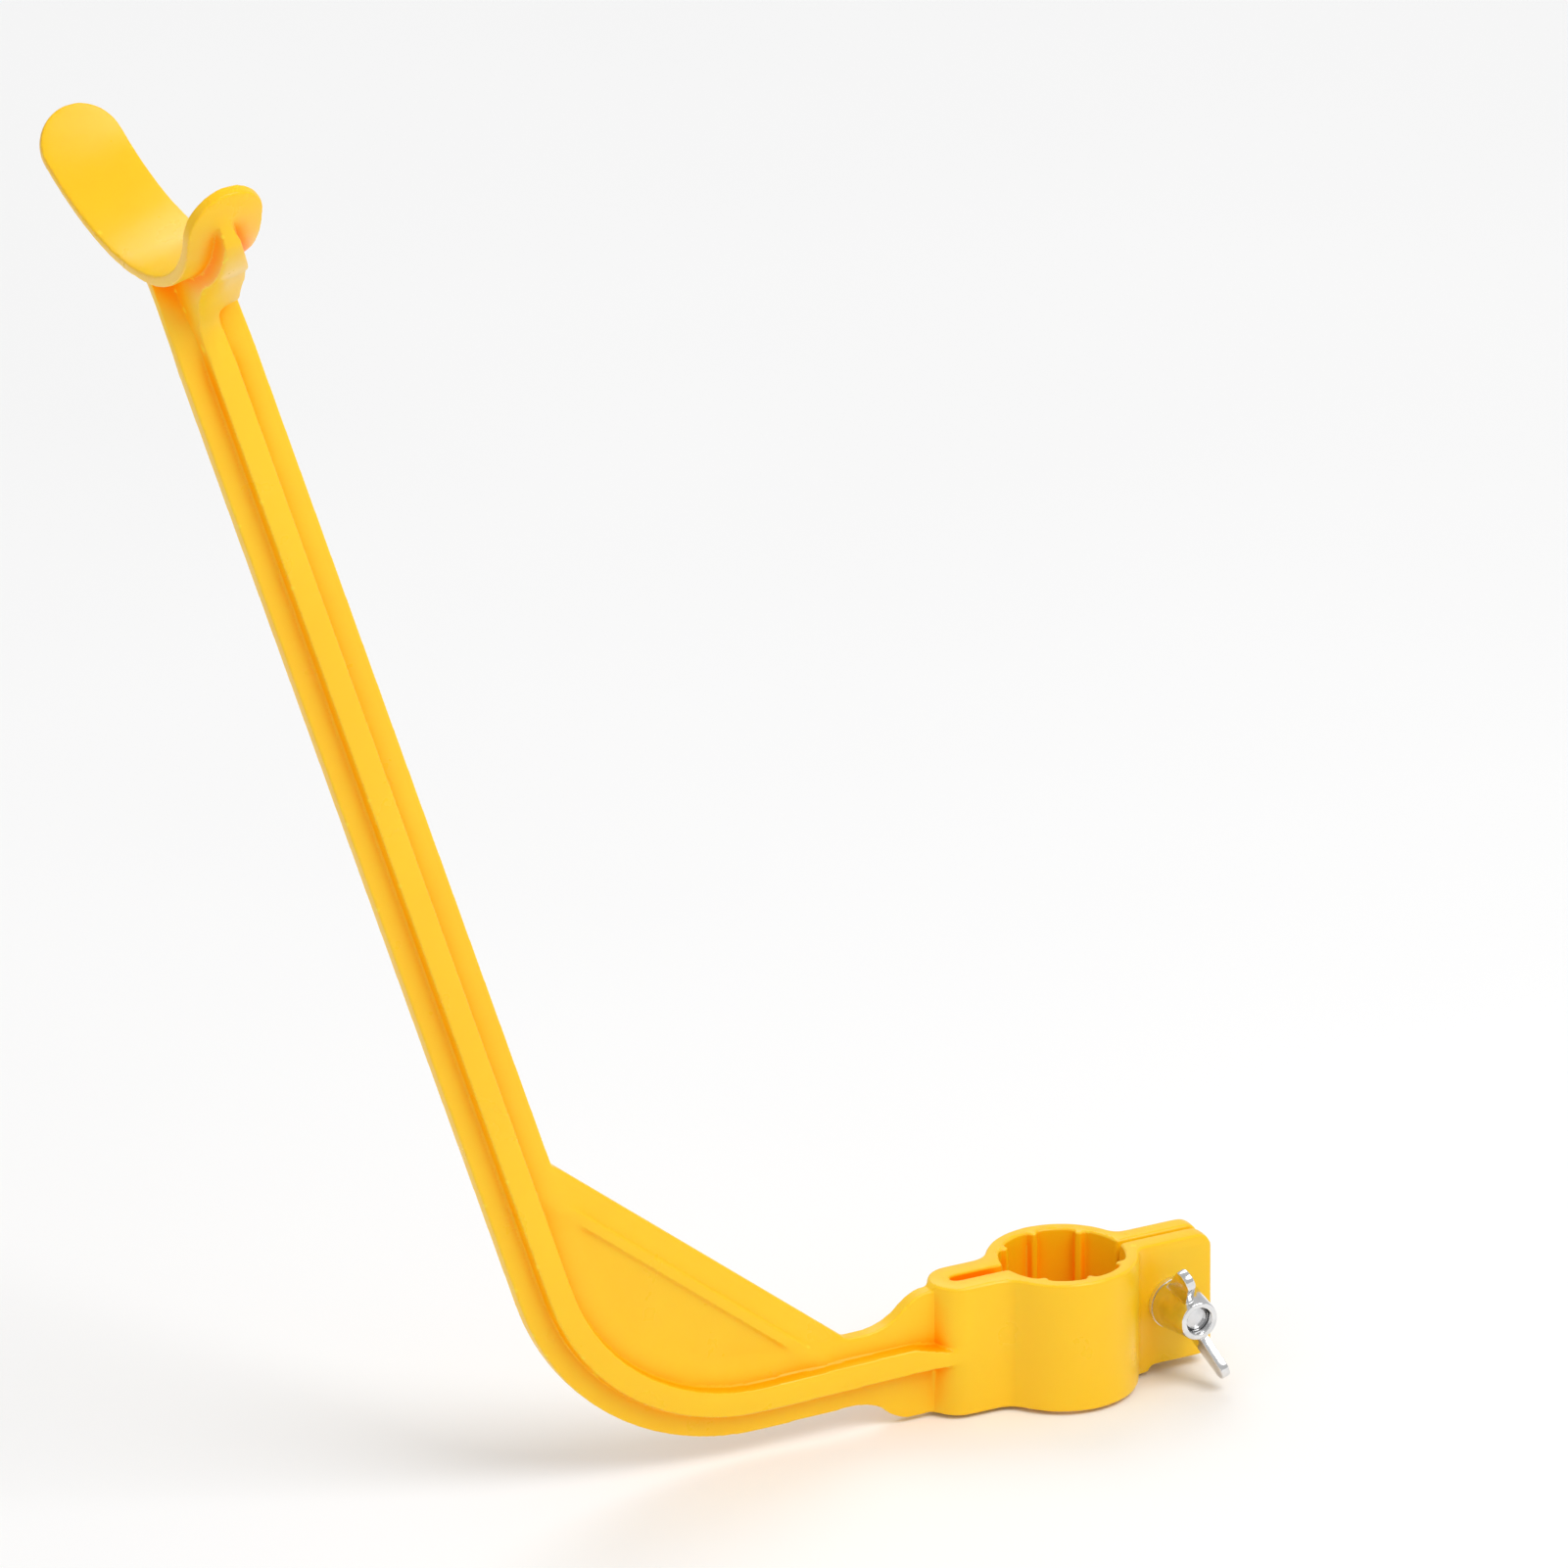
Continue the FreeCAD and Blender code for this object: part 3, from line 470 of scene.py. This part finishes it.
class Graph:
    """Short way to write a material's node tree."""

    def __init__(self, name):
        self.material = bpy.data.materials.new(name)
        self.material.use_nodes = True
        self.tree = self.material.node_tree
        self.surface = self.tree.nodes["Principled BSDF"]

    def node(self, kind, inputs=None, **settings):
        made = self.tree.nodes.new(kind)
        for key, value in settings.items():
            setattr(made, key, value)
        for key, value in (inputs or {}).items():
            if isinstance(value, bpy.types.NodeSocket):
                self.tree.links.new(value, made.inputs[key])
            else:
                made.inputs[key].default_value = value
        return made

    def to_surface(self, name, value):
        if isinstance(value, bpy.types.NodeSocket):
            self.tree.links.new(value, self.surface.inputs[name])
        else:
            self.surface.inputs[name].default_value = value

    def mix(self, share, first, second):
        made = self.node("ShaderNodeMix", data_type="RGBA")
        for socket, value in ((0, share), (6, first), (7, second)):
            if isinstance(value, bpy.types.NodeSocket):
                self.tree.links.new(value, made.inputs[socket])
            else:
                made.inputs[socket].default_value = value
        return made.outputs[2]

    def between(self, value, low, high, out_low, out_high):
        made = self.node(
            "ShaderNodeMapRange",
            {"Value": value, "From Min": low, "From Max": high, "To Min": out_low, "To Max": out_high},
        )
        return made.outputs["Result"]

    def math(self, operation, first, second, use_clamp=False):
        made = self.node("ShaderNodeMath", {0: first, 1: second}, operation=operation, use_clamp=use_clamp)
        return made.outputs["Value"]

    def place(self):
        return self.node("ShaderNodeTexCoord").outputs["Object"]

    def noise(self, scale, detail=3.0, roughness=0.5):
        settings = {"Vector": self.place(), "Scale": scale, "Detail": detail, "Roughness": roughness}
        return self.node("ShaderNodeTexNoise", settings).outputs["Fac"]


def yellow_plastic():
    """Glossy yellow plastic. Its hollow corners, creases and the hollows below the saddle are painted deeper
    orange as painted shade, with a faint painted amber glow there, and its edges and thin parts are painted paler
    as a painted highlight.
    """
    graph = Graph("yellow_plastic")
    yellow = (0.97, 0.59, 0.006, 1)
    warmer = (0.965, 0.56, 0.004, 1)
    pale = (0.98, 0.74, 0.04, 1)
    painted_shade_and_glow_amber = (1.0, 0.22, 0.0, 1)
    drift = graph.between(graph.noise(28), 0.35, 0.65, 0, 1)
    base = graph.mix(drift, yellow, warmer)

    # Painted shade: how deep in a hollow or crease a place is, from ambient occlusion and pointiness, turns the
    # colour deeper orange. The hollows round the neck, below the saddle, are painted the deepest, as the saddle's
    # shadow.
    hollow = graph.node("ShaderNodeAmbientOcclusion", {"Distance": 9 * MM}, samples=16, only_local=True)
    bend = graph.node("ShaderNodeNewGeometry").outputs["Pointiness"]
    # Painted shade in concave creases, found by the mesh's pointiness.
    painted_crease_shade = graph.between(bend, 0.45, 0.49, 0.8, 0)
    painted_hollow_shade = graph.between(hollow.outputs["AO"], 0.5, 0.97, 1, 0)
    height = graph.node("ShaderNodeSeparateXYZ", {"Vector": graph.place()}).outputs["Z"]
    # Painted shadow of the saddle: the painted shade grows stronger towards the saddle.
    painted_saddle_shadow = graph.between(height, 205 * MM, 238 * MM, 1, 1.8)
    deepened = graph.math("MULTIPLY", painted_hollow_shade, painted_saddle_shadow)
    depth = graph.math("MAXIMUM", deepened, painted_crease_shade, use_clamp=True)

    # The painted shade mixes the base colour towards amber.
    base = graph.mix(depth, base, painted_shade_and_glow_amber)
    # Painted highlight: convex edges, found by pointiness, are painted paler.
    edge = graph.between(bend, 0.52, 0.6, 0, 0.5)
    base = graph.mix(edge, base, pale)
    graph.to_surface("Base Color", base)
    graph.to_surface("Roughness", graph.between(graph.noise(90, 4), 0.3, 0.7, 0.26, 0.38))
    graph.to_surface("IOR", 1.45)
    # Reflection is turned down where the shade is painted, so that the painted shade stays a deep orange.
    graph.to_surface("Specular IOR Level", graph.between(depth, 0, 0.6, 0.5, 0.02))
    # Painted glow: a faint amber emission in the painted-shade hollows, standing in for light passing through the
    # plastic.
    graph.to_surface("Emission Color", painted_shade_and_glow_amber)
    graph.to_surface("Emission Strength", graph.between(depth, 0, 1, 0, 0.12))
    graph.to_surface("Subsurface Weight", 0.25)
    graph.to_surface("Subsurface Radius", (1.0, 0.45, 0.05))
    graph.to_surface("Subsurface Scale", 1.2 * MM)

    # A fine moulded skin over slow flow waves.
    skin = graph.noise(2600, 2)
    flow = graph.noise(160, 2)
    fine = graph.node("ShaderNodeBump", {"Height": skin, "Strength": 0.06, "Distance": 0.05 * MM})
    broad = graph.node(
        "ShaderNodeBump",
        {"Height": flow, "Strength": 0.08, "Distance": 0.35 * MM, "Normal": fine.outputs["Normal"]},
    )
    graph.to_surface("Normal", broad.outputs["Normal"])
    return graph.material


def plated_metal(name, color, roughness, grain):
    """Bright plate with cloudy roughness, a faint drawn or cast grain and a lighter colour along convex edges."""
    graph = Graph(name)
    cloud = graph.noise(420, 4)
    dull = tuple(0.86 * c for c in color)
    base = graph.mix(graph.between(cloud, 0.35, 0.65, 0, 1), (*color, 1), (*dull, 1))
    # Lighter base colour along convex edges, found by pointiness.
    bend = graph.node("ShaderNodeNewGeometry").outputs["Pointiness"]
    base = graph.mix(graph.between(bend, 0.52, 0.6, 0, 0.7), base, (0.95, 0.95, 0.95, 1))
    graph.to_surface("Base Color", base)
    graph.to_surface("Metallic", 1.0)
    graph.to_surface("Roughness", graph.between(cloud, 0.3, 0.7, roughness, 1.8 * roughness))
    bump = graph.node(
        "ShaderNodeBump", {"Height": graph.noise(grain, 3), "Strength": 0.12, "Distance": 0.06 * MM}
    )
    graph.to_surface("Normal", bump.outputs["Normal"])
    return graph.material


def floor_paper():
    graph = Graph("floor_paper")
    tone = graph.between(graph.noise(3), 0.3, 0.7, 0, 1)
    graph.to_surface("Base Color", graph.mix(tone, (0.93, 0.93, 0.93, 1), (0.9, 0.9, 0.9, 1)))
    graph.to_surface("Roughness", 0.9)
    return graph.material


# ---------------------------------------------------------------- stage

AIM = Vector((-57.75, 0, 119)) * MM
CAMERA_AZIMUTH = math.radians(-28.2)
CAMERA_ELEVATION = math.radians(23.8)
CAMERA_DISTANCE = 12.0
VIEW_WIDTH = 285.8 * MM
WORLD_LIGHT = 0.6
WORLD_SEEN = 0.56


def towards(azimuth, elevation):
    """Unit vector from the object towards a viewer there."""
    return Vector((
        math.sin(azimuth) * math.cos(elevation),
        -math.cos(azimuth) * math.cos(elevation),
        math.sin(elevation),
    ))


def add_camera():
    data = bpy.data.cameras.new("camera")
    data.sensor_width = 36
    data.lens = data.sensor_width * CAMERA_DISTANCE / VIEW_WIDTH
    data.clip_end = 60
    camera = new_object("camera", data)
    back = towards(CAMERA_AZIMUTH, CAMERA_ELEVATION)
    camera.location = AIM + CAMERA_DISTANCE * back
    camera.rotation_mode = "QUATERNION"
    camera.rotation_quaternion = (-back).to_track_quat("-Z", "Y")
    bpy.context.scene.camera = camera


def add_light(name, azimuth, elevation, distance, size, power):
    data = bpy.data.lights.new(name, "AREA")
    data.shape = "DISK"
    data.size = size
    data.energy = power
    light = new_object(name, data)
    back = towards(math.radians(azimuth), math.radians(elevation))
    middle = (cad_box[0] + cad_box[1]) / 2
    light.location = middle + distance * back
    light.rotation_mode = "QUATERNION"
    light.rotation_quaternion = (-back).to_track_quat("-Z", "Y")


def add_floor():
    """Round sheet just under the object."""
    mesh = bmesh.new()
    bmesh.ops.create_circle(mesh, cap_ends=True, segments=96, radius=6)
    data = bpy.data.meshes.new("floor")
    mesh.to_mesh(data)
    mesh.free()
    floor = new_object("floor", data)
    floor.location.z = cad_box[0].z - 0.5 * MM
    data.materials.append(floor_paper())


def add_world():
    """Even white light. Seen directly it is as pale as the floor, so that the floor has no visible end."""
    world = bpy.data.worlds.new("studio")
    world.use_nodes = True
    nodes = world.node_tree.nodes
    background = nodes["Background"]
    background.inputs["Color"].default_value = (1, 1, 1, 1)
    strength = nodes.new("ShaderNodeMapRange")
    strength.inputs["To Min"].default_value = WORLD_LIGHT
    strength.inputs["To Max"].default_value = WORLD_SEEN
    rays = nodes.new("ShaderNodeLightPath")
    world.node_tree.links.new(rays.outputs["Is Camera Ray"], strength.inputs["Value"])
    world.node_tree.links.new(strength.outputs["Result"], background.inputs["Strength"])
    bpy.context.scene.world = world


bpy.context.scene.view_settings.view_transform = "Standard"
build_moulding(yellow_plastic())
build_bolt(plated_metal("bolt_plate", (0.72, 0.72, 0.73), 0.16, 900))
build_washer(plated_metal("washer_plate", (0.75, 0.75, 0.76), 0.2, 1500))
build_wing_nut(plated_metal("nut_plate", (0.8, 0.8, 0.8), 0.1, 1200))
add_floor()
add_world()
add_light("key", 25, 50, 1.2, 0.8, 8)
add_light("fill", -75, 25, 1.4, 1.0, 1.5)
add_light("rim", 160, 45, 1.4, 0.9, 4)
add_camera()
